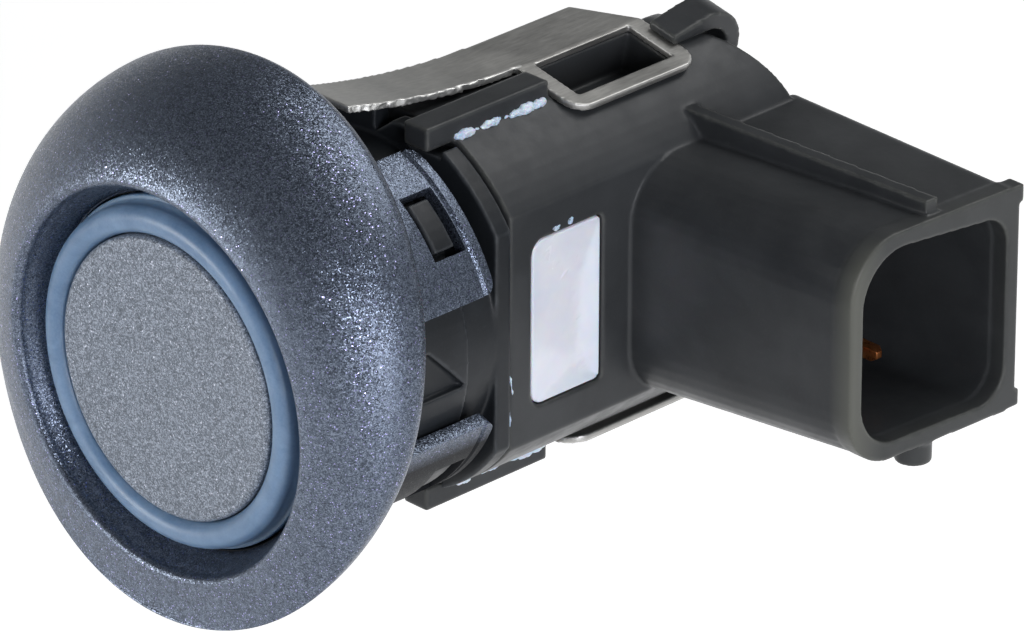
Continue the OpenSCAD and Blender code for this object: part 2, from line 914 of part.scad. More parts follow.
// Steel clip: a leaf that bends up to the front, and a windowed plate on the connector side
module spring_clip() {
    leaf_len = bend_y - leaf_tip;
    bend_z = clip_z - clip_t + leaf_bend;
    color([0.52, 0.52, 0.51]) {
        along_x(-leaf_half, leaf_half)
            intersection() {
                translate([bend_y, bend_z])
                    difference() {
                        circle(r = leaf_bend);
                        circle(r = leaf_bend - clip_t);
                    }
                translate([leaf_tip, clip_z - clip_t])
                    square([leaf_len, leaf_bend / 2]);
            }
        translate([-leaf_half, bend_y, clip_z - clip_t])
            linear_extrude(height = clip_t)
                leaf_end();
        plate_frame()
            translate([0, 0, -clip_t])
                linear_extrude(height = clip_t)
                    plate_outline();
    }
}

// Rear part of the leaf, cut off along a slant
module leaf_end() {
    len = plate_y1 - bend_y;
    polygon([[0, 0], [2 * leaf_half, 0], [2 * leaf_half, len], [0, len - leaf_cut]]);
}

// Plate outline with its window, in the plate's own frame
module plate_outline() {
    difference() {
        union() {
            translate([0, plate_y0])
                square([plate_w - plate_round, plate_len]);
            translate([0, plate_y0 + plate_round])
                square([plate_w, plate_len - 2 * plate_round]);
            for (y = [plate_y0 + plate_round, plate_y1 - plate_round])
                translate([plate_w - plate_round, y])
                    circle(r = plate_round);
        }
        translate([strip / 4, plate_y0 + strip])
            square([plate_w - strip * 1.25, plate_len - window_in]);
    }
}

module top_spring_clip() {
    spring_clip();
}

module bottom_spring_clip() {
    mirror([0, 0, 1])
        spring_clip();
}

// Small dabs of sealant where the rails meet the housing: place along the rail and radius
module sealant_dabs() {
    dabs = [[0.12, 0.45], [0.42, 0.35], [0.7, 0.4], [0.88, 0.5]];
    foot_x = rail_x + rail_w;
    foot_z = sqrt(body_r * body_r - foot_x * foot_x);
    color([0.72, 0.80, 0.92])
        difference() {
            top_and_bottom()
                for (dab = dabs)
                    translate([foot_x, body_y0 + (rail_y1 - body_y0) * dab[0], foot_z])
                        sphere(r = dab[1]);
            body_block();
            top_and_bottom()
                rail();
        }
}

bezel();
transducer_case();
decoupling_ring();
piezo_disc();
damping_pad();
case_backfill();
upper_lead();
lower_lead();
transducer_holder();
seam_gasket();
rear_housing();
potting();
circuit_board();
transformer();
control_chip();
drive_capacitor();
filter_capacitor();
first_terminal();
second_terminal();
third_terminal();
top_spring_clip();
bottom_spring_clip();
sealant_dabs();
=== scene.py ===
import math

import bmesh
import bpy
import numpy as np
from mathutils import Matrix, Vector, noise


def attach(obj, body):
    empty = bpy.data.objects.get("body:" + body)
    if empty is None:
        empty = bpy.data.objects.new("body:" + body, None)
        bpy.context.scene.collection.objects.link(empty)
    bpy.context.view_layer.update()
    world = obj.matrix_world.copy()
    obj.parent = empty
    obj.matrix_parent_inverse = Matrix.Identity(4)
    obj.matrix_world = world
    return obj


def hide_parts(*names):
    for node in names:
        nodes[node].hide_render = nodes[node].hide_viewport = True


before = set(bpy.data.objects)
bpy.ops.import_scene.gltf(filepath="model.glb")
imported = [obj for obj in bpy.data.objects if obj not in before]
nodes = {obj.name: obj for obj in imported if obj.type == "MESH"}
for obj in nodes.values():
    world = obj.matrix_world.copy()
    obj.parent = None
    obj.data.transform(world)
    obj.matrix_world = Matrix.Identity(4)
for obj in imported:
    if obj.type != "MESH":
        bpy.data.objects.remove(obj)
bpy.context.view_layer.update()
mm = 0.001
weldGap = 0.0005 * mm  # points closer than this become one
print("frame loaded,", len(nodes), "nodes")

bpy.context.scene.view_settings.view_transform = "Standard"


# Adds a node; each input takes a value or the socket to link from
def addNode(tree, kind, inputs=None, **settings):
    made = tree.nodes.new(kind)
    for key, value in settings.items():
        setattr(made, key, value)
    for key, value in (inputs or {}).items():
        if isinstance(value, bpy.types.NodeSocket):
            tree.links.new(value, made.inputs[key])
        else:
            made.inputs[key].default_value = value
    return made


def maths(tree, operation, *values):
    return addNode(tree, "ShaderNodeMath", dict(enumerate(values)), operation=operation).outputs[0]


def mapRange(tree, value, low, high, toLow, toHigh):
    limits = {0: value, 1: low, 2: high, 3: toLow, 4: toHigh}
    return addNode(tree, "ShaderNodeMapRange", limits).outputs[0]


def mixColours(tree, share, first, second):
    sockets = {0: share, 6: first, 7: second}  # 6 and 7 are the colour inputs
    return addNode(tree, "ShaderNodeMix", sockets, data_type="RGBA").outputs[2]


def vectorMaths(tree, operation, inputs):
    return addNode(tree, "ShaderNodeVectorMath", inputs, operation=operation).outputs[0]


def linear(red, green, blue):
    parts = [c / 255 for c in (red, green, blue)]
    return tuple(c / 12.92 if c <= 0.04045 else ((c + 0.055) / 1.055) ** 2.4 for c in parts) + (1.0,)


def startMaterial(name, sockets):
    material = bpy.data.materials.new(name)
    material.use_nodes = True
    tree = material.node_tree
    shader = tree.nodes["Principled BSDF"]
    for key, value in sockets.items():
        shader.inputs[key].default_value = value
    coords = tree.nodes.new("ShaderNodeTexCoord").outputs["Object"]
    return material, tree, shader, coords


def feed(tree, shader, sockets):
    for key, socket in sockets.items():
        tree.links.new(socket, shader.inputs[key])


def noiseOn(tree, coords, size, detail=3.0, rough=0.55, distortion=0.0):
    return addNode(tree, "ShaderNodeTexNoise", {
        "Vector": coords, "Scale": 1 / (size * mm), "Detail": detail,
        "Roughness": rough, "Distortion": distortion}).outputs[0]


def bumpOn(tree, shader, height, strength, distance):
    bump = addNode(tree, "ShaderNodeBump", {
        "Height": height, "Strength": strength, "Distance": distance * mm})
    feed(tree, shader, {"Normal": bump.outputs[0]})


def putInScene(name, data):
    made = bpy.data.objects.new(name, data)
    bpy.context.scene.collection.objects.link(made)
    return made


def addPiece(name, mesh, material, slot, *stoodFor):
    piece = putInScene(name, mesh)
    mesh.materials.clear()
    mesh.materials.append(material)
    mesh.shade_smooth()
    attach(piece, "root")
    if stoodFor:
        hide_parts(*stoodFor)
    print("made", name, len(mesh.polygons), "faces")


def plainMesh(holder, name):
    graph = bpy.context.evaluated_depsgraph_get()
    mesh = bpy.data.meshes.new_from_object(holder.evaluated_get(graph))
    mesh.name = name
    bpy.data.objects.remove(holder)
    return mesh


# Joins doubled points and, except on a copy of a node, turns the faces outwards
def weld(mesh, turnOut=True):
    work = bmesh.new()
    work.from_mesh(mesh)
    bmesh.ops.remove_doubles(work, verts=work.verts, dist=weldGap)
    if turnOut:
        bmesh.ops.recalc_face_normals(work, faces=work.faces)
    work.to_mesh(mesh)
    work.free()
    return mesh


def meshFrom(name, verts, faces):
    mesh = bpy.data.meshes.new(name)
    mesh.from_pydata(verts, [], faces)
    return weld(mesh)


def readPoints(mesh):
    points = np.empty(len(mesh.vertices) * 3)
    mesh.vertices.foreach_get("co", points)
    return points.reshape(-1, 3)


def writePoints(mesh, points):
    mesh.vertices.foreach_set("co", points.ravel())
    mesh.update()


# The two ends of every edge, and how many neighbours each point has
def readEdges(mesh):
    pairs = np.empty(len(mesh.edges) * 2, int)
    mesh.edges.foreach_get("vertices", pairs)
    count = np.maximum(np.bincount(pairs, minlength=len(mesh.vertices)), 1)
    return pairs[0::2], pairs[1::2], count


def sumOfNear(values, first, second):
    size = len(values)
    return np.bincount(first, values[second], size) + np.bincount(second, values[first], size)


# A moulded copy of a node: even small faces whose corners are worn round
def mouldedMesh(nodeName, form):
    holder = putInScene("holder", weld(nodes[nodeName].data.copy(), turnOut=False))
    remesh = holder.modifiers.new("even", "REMESH")
    remesh.mode = "VOXEL"
    remesh.voxel_size = form["voxel"] * mm
    soften = holder.modifiers.new("round", "SMOOTH")
    soften.factor = 0.5
    soften.iterations = form["rounds"]
    thin = holder.modifiers.new("thin", "DECIMATE")
    thin.ratio = form["keep"]
    moulded = plainMesh(holder, nodeName + "Moulded")
    limits = readPoints(nodes[nodeName].data)
    writePoints(moulded, np.clip(readPoints(moulded), limits.min(0), limits.max(0)))
    return moulded


# How far each point stands out from its neighbours, as an attribute that the materials read to pale the
# convex edges, partly as wear and partly as painted highlight
def markEdges(mesh, form):
    points = readPoints(mesh)
    normals = np.empty(len(mesh.vertices) * 3)
    mesh.vertex_normals.foreach_get("vector", normals)
    normals = normals.reshape(-1, 3)
    first, second, count = readEdges(mesh)
    step = points[second] - points[first]
    length = np.linalg.norm(step, axis=1) + 1e-12
    out = np.bincount(first, -(normals[first] * step).sum(1) / length, len(points))
    out += np.bincount(second, (normals[second] * step).sum(1) / length, len(points))
    out /= count
    for _ in range(form["spread"]):
        out = 0.5 * out + 0.5 * sumOfNear(out, first, second) / count
    layer = mesh.attributes.new("edgeWearAndHighlight", "FLOAT", "POINT")
    layer.data.foreach_set("value", np.clip(out * form["gain"], -1, 1).astype(np.float32))


# A bevel along every sharp edge
def softened(mesh, width, name):
    holder = putInScene("holder", mesh)
    bevel = holder.modifiers.new("soft", "BEVEL")
    bevel.width = width * mm
    bevel.segments = 3
    bevel.limit_method = "ANGLE"
    bevel.angle_limit = math.radians(40)
    return plainMesh(holder, name)


# A closed outline of radius and y, turned round the sensor's axis
def turned(name, outline, around=200):
    verts, faces = [], []
    count = len(outline)
    for i in range(around):
        turn = 2 * math.pi * i / around
        verts += [(r * math.cos(turn) * mm, y * mm, r * math.sin(turn) * mm) for r, y in outline]
        here, there = i * count, (i + 1) % around * count
        for j in range(count):
            beyond = (j + 1) % count
            faces.append([here + j, here + beyond, there + beyond, there + j])
    return meshFrom(name, verts, faces)


def spaced(low, high, count):
    return [low + (high - low) * i / count for i in range(count + 1)]


def arc(middle, radius, start, end, steps):
    turns = [math.radians(turn) for turn in spaced(start, end, steps)]
    return [(middle[0] + radius * math.cos(t), middle[1] + radius * math.sin(t)) for t in turns]


# A Geometry Nodes tree with named inputs: the tree, its input sockets and their identifiers
def startTree(name, kinds, takesMesh=True):
    tree = bpy.data.node_groups.new(name, "GeometryNodeTree")
    addSocket = tree.interface.new_socket
    addSocket("Geometry", in_out="OUTPUT", socket_type="NodeSocketGeometry")
    if takesMesh:
        addSocket("Geometry", in_out="INPUT", socket_type="NodeSocketGeometry")
    identifiers = {key: addSocket(key, in_out="INPUT", socket_type="NodeSocket" + kind).identifier
                   for key, kind in kinds.items()}
    return tree, addNode(tree, "NodeGroupInput").outputs, identifiers


def endTree(tree, geometry, material):
    real = addNode(tree, "GeometryNodeRealizeInstances", {0: geometry})
    dressed = addNode(tree, "GeometryNodeSetMaterial", {
        "Geometry": real.outputs[0], "Material": material})
    addNode(tree, "NodeGroupOutput", {0: dressed.outputs[0]})


def grownMesh(name, tree, identifiers, values, start=None):
    holder = putInScene(name + "Holder", start or bpy.data.meshes.new(name))
    growth = holder.modifiers.new("growth", "NODES")
    growth.node_group = tree
    for key, value in values.items():
        growth[identifiers[key]] = value
    return plainMesh(holder, name)


paintLook = {
    "dark": linear(44, 49, 58), "base": linear(89, 98, 113), "light": linear(136, 146, 163),
    "glint": linear(176, 172, 226), "glintShare": 0.965, "flake": 0.05, "cloud": 0.35, "tilt": 0.36,
    "metallic": 0.78, "rough": 0.36, "gloss": 0.25, "coat": 0.12, "coatRough": 0.35}
legLook = dict(paintLook, gloss=0.1, bare=linear(22, 24, 28), bareHeights=(-4.6, -3.5), bareRough=0.28)
discLook = dict(
    paintLook, dark=linear(48, 56, 67), base=linear(102, 111, 124), light=linear(168, 177, 191),
    glint=linear(190, 194, 210), glintShare=0.97, flake=0.06, tilt=0.35,
    metallic=0.2, rough=0.5, gloss=0.5)


# Metallic paint: each flake is a cell with its own tone and lean, and a few are bare mirrors
def flakePaint(name, look):
    material, tree, shader, coords = startMaterial(name, {
        "Coat Weight": look["coat"], "Coat Roughness": look["coatRough"],
        "Specular IOR Level": look["gloss"]})
    flakes = addNode(tree, "ShaderNodeTexVoronoi", {
        "Vector": coords, "Scale": 1 / (look["flake"] * mm)}).outputs["Color"]
    tone, chance, gloss = addNode(tree, "ShaderNodeSeparateColor", {0: flakes}).outputs
    cloud = noiseOn(tree, coords, look["cloud"], 4.0, 0.7)
    grain = maths(tree, "ADD", maths(tree, "MULTIPLY", tone, 0.55), maths(tree, "MULTIPLY", cloud, 0.45))
    ramp = addNode(tree, "ShaderNodeValToRGB", {0: grain})
    stops = ramp.color_ramp.elements
    stops[0].position, stops[0].color = 0.12, look["dark"]
    stops[1].position, stops[1].color = 0.9, look["light"]
    stops.new(0.5).color = look["base"]
    glint = mapRange(tree, chance, look["glintShare"], look["glintShare"] + 0.03, 0.0, 1.0)
    colour = mixColours(tree, glint, ramp.outputs[0], look["glint"])
    metal = mapRange(tree, glint, 0.0, 1.0, look["metallic"], 1.0)
    matt = mapRange(tree, gloss, 0.0, 1.0, look["rough"] - 0.1, look["rough"] + 0.1)
    roughness = maths(tree, "SUBTRACT", matt, maths(tree, "MULTIPLY", glint, look["rough"] * 0.55))
    tilt = look["tilt"]
    if "bare" in look:  # the paint fades out to bare plastic further down
        height = addNode(tree, "ShaderNodeSeparateXYZ", {0: coords}).outputs[2]
        low, high = look["bareHeights"]
        painted = mapRange(tree, height, low * mm, high * mm, 0.0, 1.0)
        colour = mixColours(tree, painted, look["bare"], colour)
        metal = maths(tree, "MULTIPLY", metal, painted)
        tilt = maths(tree, "MULTIPLY", painted, tilt)
        roughness = maths(tree, "ADD", roughness, mapRange(tree, painted, 0.0, 1.0, look["bareRough"], 0.0))
    normal = addNode(tree, "ShaderNodeNewGeometry").outputs["Normal"]
    lean = vectorMaths(tree, "SUBTRACT", {0: flakes, 1: (0.5, 0.5, 0.5)})
    lean = vectorMaths(tree, "SCALE", {0: lean, "Scale": tilt})
    lean = vectorMaths(tree, "NORMALIZE", {0: vectorMaths(tree, "ADD", {0: normal, 1: lean})})
    feed(tree, shader, {"Base Color": colour, "Metallic": metal, "Roughness": roughness, "Normal": lean})
    return material


# The edge tone colours the flecks and the convex edges; on the edges it is partly wear and partly painted
# highlight
plasticLook = {
    "base": linear(49, 51, 53), "lift": linear(59, 61, 63), "edge": linear(84, 85, 82), "rough": 0.35,
    "cloud": 5.0, "fleck": 0.16, "wearAndSheen": 0.5, "streak": 1.4, "grain": 0.09,
    "lip": linear(104, 105, 97), "lipX": (19.8, 21.1), "lipY": (20.6, 22.6)}
holderLook = {
    "base": linear(30, 33, 36), "lift": linear(38, 41, 45), "edge": linear(76, 79, 82), "rough": 0.4,
    "cloud": 5.0, "fleck": 0.16, "wearAndSheen": 0.5, "streak": 1.4, "grain": 0.09}


# Fine moulded plastic, paler along its convex edges (partly wear, partly painted highlight) and, on the
# housing, round the connector's lip
def mouldedPlastic(name, look):
    material, tree, shader, coords = startMaterial(name, {"Specular IOR Level": 0.25})
    cloud = noiseOn(tree, coords, look["cloud"], 4.0, 0.6, 0.4)
    colour = mixColours(tree, mapRange(tree, cloud, 0.35, 0.65, 0.0, 1.0), look["base"], look["lift"])
    fleck = noiseOn(tree, coords, look["fleck"], 2.0, 0.6)
    colour = mixColours(tree, mapRange(tree, fleck, 0.55, 0.8, 0.0, 0.12), colour, look["edge"])
    wearAndSheen = addNode(tree, "ShaderNodeAttribute", attribute_name="edgeWearAndHighlight").outputs["Fac"]
    patchy = mapRange(tree, noiseOn(tree, coords, look["wearAndSheen"]), 0.3, 0.7, 0.6, 1.2)
    # Convex edges turn paler: partly wear, partly painted highlight
    wornAndHighlit = mapRange(tree, maths(tree, "MULTIPLY", wearAndSheen, patchy), 0.2, 0.9, 0.0, 0.55)
    colour = mixColours(tree, wornAndHighlit, colour, look["edge"])
    if "lip" in look:
        place = addNode(tree, "ShaderNodeSeparateXYZ", {0: coords}).outputs
        outX = mapRange(tree, place[0], look["lipX"][0] * mm, look["lipX"][1] * mm, 0.0, 0.75)
        nearY = mapRange(tree, place[1], look["lipY"][0] * mm, look["lipY"][1] * mm, 1.0, 0.15)
        colour = mixColours(tree, maths(tree, "MULTIPLY", outX, nearY), colour, look["lip"])
    streak = noiseOn(tree, coords, look["streak"], 3.0, 0.7)
    roughness = mapRange(tree, streak, 0.3, 0.7, look["rough"] - 0.07, look["rough"] + 0.09)
    feed(tree, shader, {"Base Color": colour, "Roughness": roughness})
    bumpOn(tree, shader, noiseOn(tree, coords, look["grain"], 2.0, 0.6), 0.35, 0.006)
    return material


siliconeLook = {"low": linear(87, 115, 146), "high": linear(118, 144, 173), "rough": 0.36,
                "cloud": 2.2, "fine": 0.12, "depth": 1.2}


def softRing(name, look):
    material, tree, shader, coords = startMaterial(name, {
        "Subsurface Weight": 0.6, "Subsurface Scale": look["depth"] * mm,
        "Subsurface Radius": (0.5, 0.8, 1.0)})
    cloud = noiseOn(tree, coords, look["cloud"], 4.0, 0.6, 0.6)
    fine = noiseOn(tree, coords, look["fine"], 2.0, 0.6)
    share = maths(tree, "ADD", maths(tree, "MULTIPLY", cloud, 0.8), maths(tree, "MULTIPLY", fine, 0.25))
    colour = mixColours(tree, mapRange(tree, share, 0.35, 0.72, 0.0, 1.0), look["low"], look["high"])
    roughness = mapRange(tree, fine, 0.3, 0.7, look["rough"] - 0.06, look["rough"] + 0.08)
    feed(tree, shader, {"Base Color": colour, "Roughness": roughness})
    bumpOn(tree, shader, fine, 0.25, 0.006)
    return material


steelLook = {"dull": linear(158, 157, 154), "bright": linear(190, 189, 185), "torn": linear(236, 236, 233),
             "rough": 0.4, "metallic": 0.85, "brush": 0.12, "drawn": (1.0, 0.12, 1.0), "stain": 4.0}


# Stamped spring steel, brushed along the leaf and bright where it was torn; its other convex edges are paler,
# partly wear and partly painted highlight
def springSteel(name, look):
    material, tree, shader, coords = startMaterial(name, {"Metallic": look["metallic"]})
    drawn = addNode(tree, "ShaderNodeMapping", {"Vector": coords, "Scale": look["drawn"]}).outputs[0]
    brush = noiseOn(tree, drawn, look["brush"], 3.0, 0.65)
    stain = noiseOn(tree, coords, look["stain"], 3.0, 0.5, 0.5)
    share = maths(tree, "ADD", maths(tree, "MULTIPLY", brush, 0.5), maths(tree, "MULTIPLY", stain, 0.5))
    colour = mixColours(tree, mapRange(tree, share, 0.35, 0.66, 0.0, 1.0), look["dull"], look["bright"])
    wearAndSheen = addNode(tree, "ShaderNodeAttribute", attribute_name="edgeWearAndHighlight").outputs["Fac"]
    # Torn edges turn bright; the other convex edges turn paler, partly wear and partly painted highlight
    colour = mixColours(tree, mapRange(tree, wearAndSheen, 0.2, 0.8, 0.0, 0.9), colour, look["torn"])
    roughness = mapRange(tree, share, 0.3, 0.7, look["rough"] - 0.08, look["rough"] + 0.12)
    feed(tree, shader, {"Base Color": colour, "Roughness": roughness})
    bumpOn(tree, shader, brush, 0.3, 0.004)
    return material


pottingLook = {"low": linear(234, 236, 251), "high": linear(244, 245, 255), "rough": 0.16,
               "cloud": 3.0, "ripple": 1.2, "depth": 1.0}
sealantLook = dict(pottingLook, low=linear(196, 210, 234), high=linear(232, 238, 248), rough=0.3)


def castResin(name, look):
    material, tree, shader, coords = startMaterial(name, {
        "Subsurface Weight": 0.3, "Subsurface Scale": look["depth"] * mm,
        "Coat Weight": 0.3, "Coat Roughness": 0.08})
    cloud = noiseOn(tree, coords, look["cloud"], 3.0, 0.5, 0.5)
    colour = mixColours(tree, mapRange(tree, cloud, 0.35, 0.65, 0.0, 1.0), look["low"], look["high"])
    roughness = mapRange(tree, cloud, 0.3, 0.7, look["rough"], look["rough"] + 0.12)
    feed(tree, shader, {"Base Color": colour, "Roughness": roughness})
    bumpOn(tree, shader, noiseOn(tree, coords, look["ripple"]), 0.15, 0.02)
    return material


# Plain finish for the pins and the hidden pieces: two close tones and a grain
def innerFinish(name, low, high, grainSize, rough, metallic):
    material, tree, shader, coords = startMaterial(name, {"Metallic": metallic})
    grain = noiseOn(tree, coords, grainSize, 4.0, 0.6)
    colour = mixColours(tree, mapRange(tree, grain, 0.35, 0.65, 0.0, 1.0), linear(*low), linear(*high))
    roughness = mapRange(tree, grain, 0.3, 0.7, rough - 0.05, rough + 0.1)
    feed(tree, shader, {"Base Color": colour, "Roughness": roughness})
    bumpOn(tree, shader, grain, 0.2, 0.01)
    return material


bezelPaint = flakePaint("bezelPaint", paintLook)
legPaint = flakePaint("legPaint", legLook)
discPaint = flakePaint("discPaint", discLook)
housingPlastic = mouldedPlastic("housingPlastic", plasticLook)
holderPlastic = mouldedPlastic("holderPlastic", holderLook)
ringSilicone = softRing("ringSilicone", siliconeLook)
clipSteel = springSteel("clipSteel", steelLook)
pottingResin = castResin("pottingResin", pottingLook)
sealantSmear = castResin("sealantSmear", sealantLook)
copperAlloy = innerFinish("copperAlloy", (176, 104, 58), (214, 140, 88), 0.3, 0.3, 0.9)
print("materials ready")


bezelSizes = {
    "mouthRadius": 9.5, "edgeReach": 0.375, "edgeDepth": 0.4, "slopeRadius": 8.75, "slopeDepth": 2.1,
    "rimRadius": 13.58, "rimEdge": 1.0, "rimRise": 1.02, "tilt": 15.0, "fullness": 1.6,
    "frontY": -4.15, "grooveRadius": 10.2, "grooveDepth": 0.4, "collarRadius": 9.5,
    "around": 220, "along": 100}


# The bezel's dome: rings that grow from the front edge to the tilted rim
def bezelTree(sizes, material):
    tree, given, identifiers = startTree("bezelDome", {
        key: "Int" if key in ("around", "along") else "Float" for key in sizes}, takesMesh=False)

    def calc(operation, *values):
        return maths(tree, operation, *values)

    def times(first, second):
        return calc("MULTIPLY", first, second)

    def plus(first, second):
        return calc("ADD", first, second)

    def minus(first, second):
        return calc("SUBTRACT", first, second)

    def point(x, y, z):
        return addNode(tree, "ShaderNodeCombineXYZ", {0: x, 1: y, 2: z}).outputs[0]

    grid = addNode(tree, "GeometryNodeMeshGrid", {
        "Size X": 1.0, "Size Y": 1.0, "Vertices X": given["around"], "Vertices Y": given["along"]})
    position = addNode(tree, "GeometryNodeInputPosition").outputs[0]
    place = addNode(tree, "ShaderNodeSeparateXYZ", {0: position}).outputs
    turn = times(plus(place[0], 0.5), 2 * math.pi)
    run = plus(place[1], 0.5)  # 0 inside the mouth, 1 back at the collar
    quarter = math.pi / 2
    slope = mapRange(tree, run, 0.0, 0.08, 1.0, 0.0)
    edge = mapRange(tree, run, 0.08, 0.2, quarter, 0.0)
    dome = mapRange(tree, run, 0.2, 0.72, 0.0, quarter)
    rim = mapRange(tree, run, 0.72, 0.9, 0.0, quarter)

    # radius of each ring
    frontRadius = plus(given["mouthRadius"], given["edgeReach"])
    grow = calc("POWER", calc("SINE", dome), given["fullness"])
    radius = calc("MULTIPLY_ADD", minus(given["rimRadius"], frontRadius), grow, frontRadius)
    radius = minus(radius, times(given["edgeReach"], calc("SINE", edge)))
    radius = minus(radius, times(minus(given["mouthRadius"], given["slopeRadius"]), slope))
    radius = minus(radius, times(given["rimEdge"], minus(1.0, calc("COSINE", rim))))

    # how deep the ring lies behind its own plane
    depth = times(given["edgeDepth"], minus(1.0, calc("COSINE", edge)))
    depth = calc("MULTIPLY_ADD", minus(given["slopeDepth"], given["edgeDepth"]), slope, depth)
    depth = calc("MULTIPLY_ADD", given["rimEdge"], calc("SINE", rim), depth)

    # lean and middle of the ring
    tilt = calc("RADIANS", given["tilt"])
    tiltCos, tiltSin = calc("COSINE", tilt), calc("SINE", tilt)
    sink = minus(1.0, calc("COSINE", dome))
    lean = times(tilt, sink)
    rimY = minus(times(given["rimRise"], tiltSin), times(given["rimEdge"], tiltCos))
    rimZ = plus(times(given["rimEdge"], tiltSin), times(given["rimRise"], tiltCos))
    middleY = calc("MULTIPLY_ADD", minus(rimY, given["frontY"]), sink, given["frontY"])
    middleZ = times(rimZ, sink)
    leanCos, leanSin = calc("COSINE", lean), calc("SINE", lean)
    turnCos, turnSin = calc("COSINE", turn), calc("SINE", turn)
    height = times(radius, turnSin)
    outer = point(
        times(radius, turnCos),
        plus(calc("MULTIPLY_ADD", depth, leanCos, middleY), times(height, leanSin)),
        plus(minus(middleZ, times(depth, leanSin)), times(height, leanCos)))

    # behind the rim: flat seat, groove wall, groove floor, and back to the slope inside the mouth
    def onSeat(ringRadius, drop):
        ringHeight = times(ringRadius, turnSin)
        y = minus(times(ringHeight, calc("TANGENT", tilt)), drop)
        return point(times(ringRadius, turnCos), y, ringHeight)

    slopeEnd = point(
        times(given["slopeRadius"], turnCos), plus(given["frontY"], given["slopeDepth"]),
        times(given["slopeRadius"], turnSin))
    shape = outer
    for start, end, following in (
            (0.9, 0.93, onSeat(given["grooveRadius"], 0.0)),
            (0.93, 0.94, onSeat(given["grooveRadius"], given["grooveDepth"])),
            (0.94, 0.96, onSeat(given["collarRadius"], given["grooveDepth"])),
            (0.96, 1.0, slopeEnd)):
        sockets = {0: mapRange(tree, run, start, end, 0.0, 1.0), 4: shape, 5: following}
        shape = addNode(tree, "ShaderNodeMix", sockets, data_type="VECTOR").outputs[1]
    shape = vectorMaths(tree, "SCALE", {0: shape, "Scale": mm})
    shaped = addNode(tree, "GeometryNodeSetPosition", {"Geometry": grid.outputs[0], "Position": shape})
    joined = addNode(tree, "GeometryNodeMergeByDistance", {
        "Geometry": shaped.outputs[0], "Distance": weldGap})
    endTree(tree, joined.outputs[0], material)
    return tree, identifiers


rimForm = {"rounds": 90, "seatClear": 0.12, "reach": 2.4, "outside": 11.6, "fade": (1.0, 5.0)}


# The lower rim is evened out, so that it turns back in one round edge
def relaxRim(mesh, form):
    points = readPoints(mesh) / mm
    tilt = math.radians(bezelSizes["tilt"])
    ahead = points[:, 2] * math.sin(tilt) - points[:, 1] * math.cos(tilt)
    outside = np.hypot(points[:, 0], points[:, 2] - bezelSizes["rimRise"]) > form["outside"]
    fadeStart, fadeEnd = form["fade"]
    low = np.clip((-points[:, 2] - fadeStart) / (fadeEnd - fadeStart), 0, 1)
    share = 0.5 * low * outside * (ahead > form["seatClear"]) * (ahead < form["reach"])
    first, second, count = readEdges(mesh)
    for _ in range(form["rounds"]):
        near = np.stack([sumOfNear(points[:, k], first, second) for k in range(3)], 1)
        points += share[:, None] * (near / count[:, None] - points)
    writePoints(mesh, points * mm)


domeTree, domeInputs = bezelTree(bezelSizes, bezelPaint)
domeMesh = weld(grownMesh("bezelDome", domeTree, domeInputs, bezelSizes))
relaxRim(domeMesh, rimForm)
addPiece("bezelDome", domeMesh, bezelPaint, "bezel_paint", "bezel")


# Collar, and four legs with their windows, repeated round the axis
legSizes = {
    "count": 4, "firstTurn": 45.0, "inner": 8.75, "outer": 9.5, "half": 24.5, "corner": 0.6, "soft": 0.09,
    "collarStart": -2.2, "collarEnd": 3.0, "collarSoft": 0.08, "root": 2.6, "middle": 5.0, "legEnd": 9.2,
    "windowStart": 6.35, "windowEnd": 8.35, "windowHalf": 10.3,
    "creaseStart": 8.42, "creaseEnd": 8.72, "creaseDepth": 0.14, "sideSteps": 12, "endSteps": 5}


# Moves a point of a leg's end corner back onto the corner's round
def roundedCorner(turn, y, lastTurn, lastY, radius, corner):
    fromSide = (lastTurn - abs(turn)) * radius
    fromEnd = lastY - y
    if fromSide >= corner or fromEnd >= corner:
        return turn, y
    away = math.hypot(corner - fromSide, corner - fromEnd)
    if away <= corner:
        return turn, y
    pull = corner / away
    fromSide = corner - (corner - fromSide) * pull
    fromEnd = corner - (corner - fromEnd) * pull
    return math.copysign(lastTurn - fromSide / radius, turn), lastY - fromEnd


def inWindow(angle, y, sizes):
    return abs(angle) < sizes["windowHalf"] and sizes["windowStart"] < y < sizes["windowEnd"]


def legPlate(angles, heights, sizes):
    verts, faces = [], []
    lastTurn = math.radians(angles[-1])
    for angle in angles:
        for y in heights:
            inCrease = sizes["creaseStart"] < y < sizes["creaseEnd"]
            creased = sizes["outer"] - sizes["creaseDepth"] if inCrease else sizes["outer"]
            for radius, reach in ((sizes["inner"], sizes["inner"]), (sizes["outer"], creased)):
                turn, along = roundedCorner(
                    math.radians(angle), y, lastTurn, heights[-1], radius, sizes["corner"])
                verts.append((reach * math.cos(turn) * mm, along * mm, reach * math.sin(turn) * mm))

    def at(i, j, k):
        return (i * len(heights) + j) * 2 + k

    cells = {(i, j) for i in range(len(angles) - 1) for j in range(len(heights) - 1)
             if not inWindow((angles[i] + angles[i + 1]) / 2, (heights[j] + heights[j + 1]) / 2, sizes)}
    for i, j in sorted(cells):
        for k in (0, 1):
            faces.append([at(i, j, k), at(i + 1, j, k), at(i + 1, j + 1, k), at(i, j + 1, k)])
        for beyond, start, end in (
                ((i - 1, j), (i, j), (i, j + 1)), ((i + 1, j), (i + 1, j), (i + 1, j + 1)),
                ((i, j - 1), (i, j), (i + 1, j)), ((i, j + 1), (i, j + 1), (i + 1, j + 1))):
            if beyond not in cells:  # an open side gets its wall
                faces.append([at(*start, 0), at(*end, 0), at(*end, 1), at(*start, 1)])
    return meshFrom("legPlate", verts, faces)


